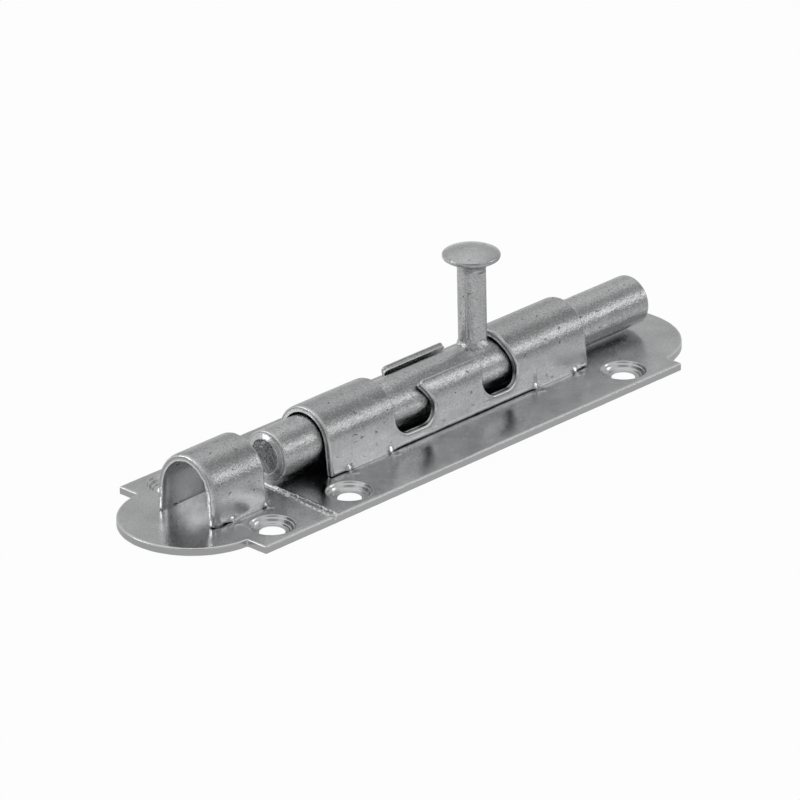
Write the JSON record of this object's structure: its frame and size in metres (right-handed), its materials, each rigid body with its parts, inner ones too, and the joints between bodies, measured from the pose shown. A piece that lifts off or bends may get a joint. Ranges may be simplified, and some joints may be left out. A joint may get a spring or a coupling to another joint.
{
  "type": "door bolt",
  "caption": "Surface-mounted sliding door bolt: a round bar slides and turns under a pressed guide with slots for its knob, and shoots into a keeper on the same plate.",
  "frame": {"origin": "centre of the base plate's back face, which lies on the door", "axes": "+X along the bolt, away from the keeper; +Y across the plate; +Z out of the door, through the knob"},
  "size_m": [0.127, 0.035, 0.0292],
  "materials": {
    "plate_zinc": "bright zinc-plated sheet, smooth and slightly mirror-like",
    "pressed_zinc": "bright zinc-plated pressed sheet, speckled where it is bent",
    "bar_zinc": "zinc-plated drawn bar, speckled"
  },
  "bodies": {
    "plate": {"base_plate": "plate_zinc", "guide_housing": "pressed_zinc", "keeper_staple": "pressed_zinc"},
    "rod": {"bolt_rod": "bar_zinc"},
    "knob": {"knob_stud": "bar_zinc"}
  },
  "joints": [
    {"name": "bolt_slide", "type": "slide", "parent": "plate", "child": "rod", "axis": [-1, 0, 0], "range_m": [-0.0005, 0.0221]},
    {"name": "knob_turn", "type": "hinge", "parent": "rod", "child": "knob", "pos_m": [0.01673, 0, 0.0065], "axis": [1, 0, 0], "range_deg": [-90, 90]}
  ]
}
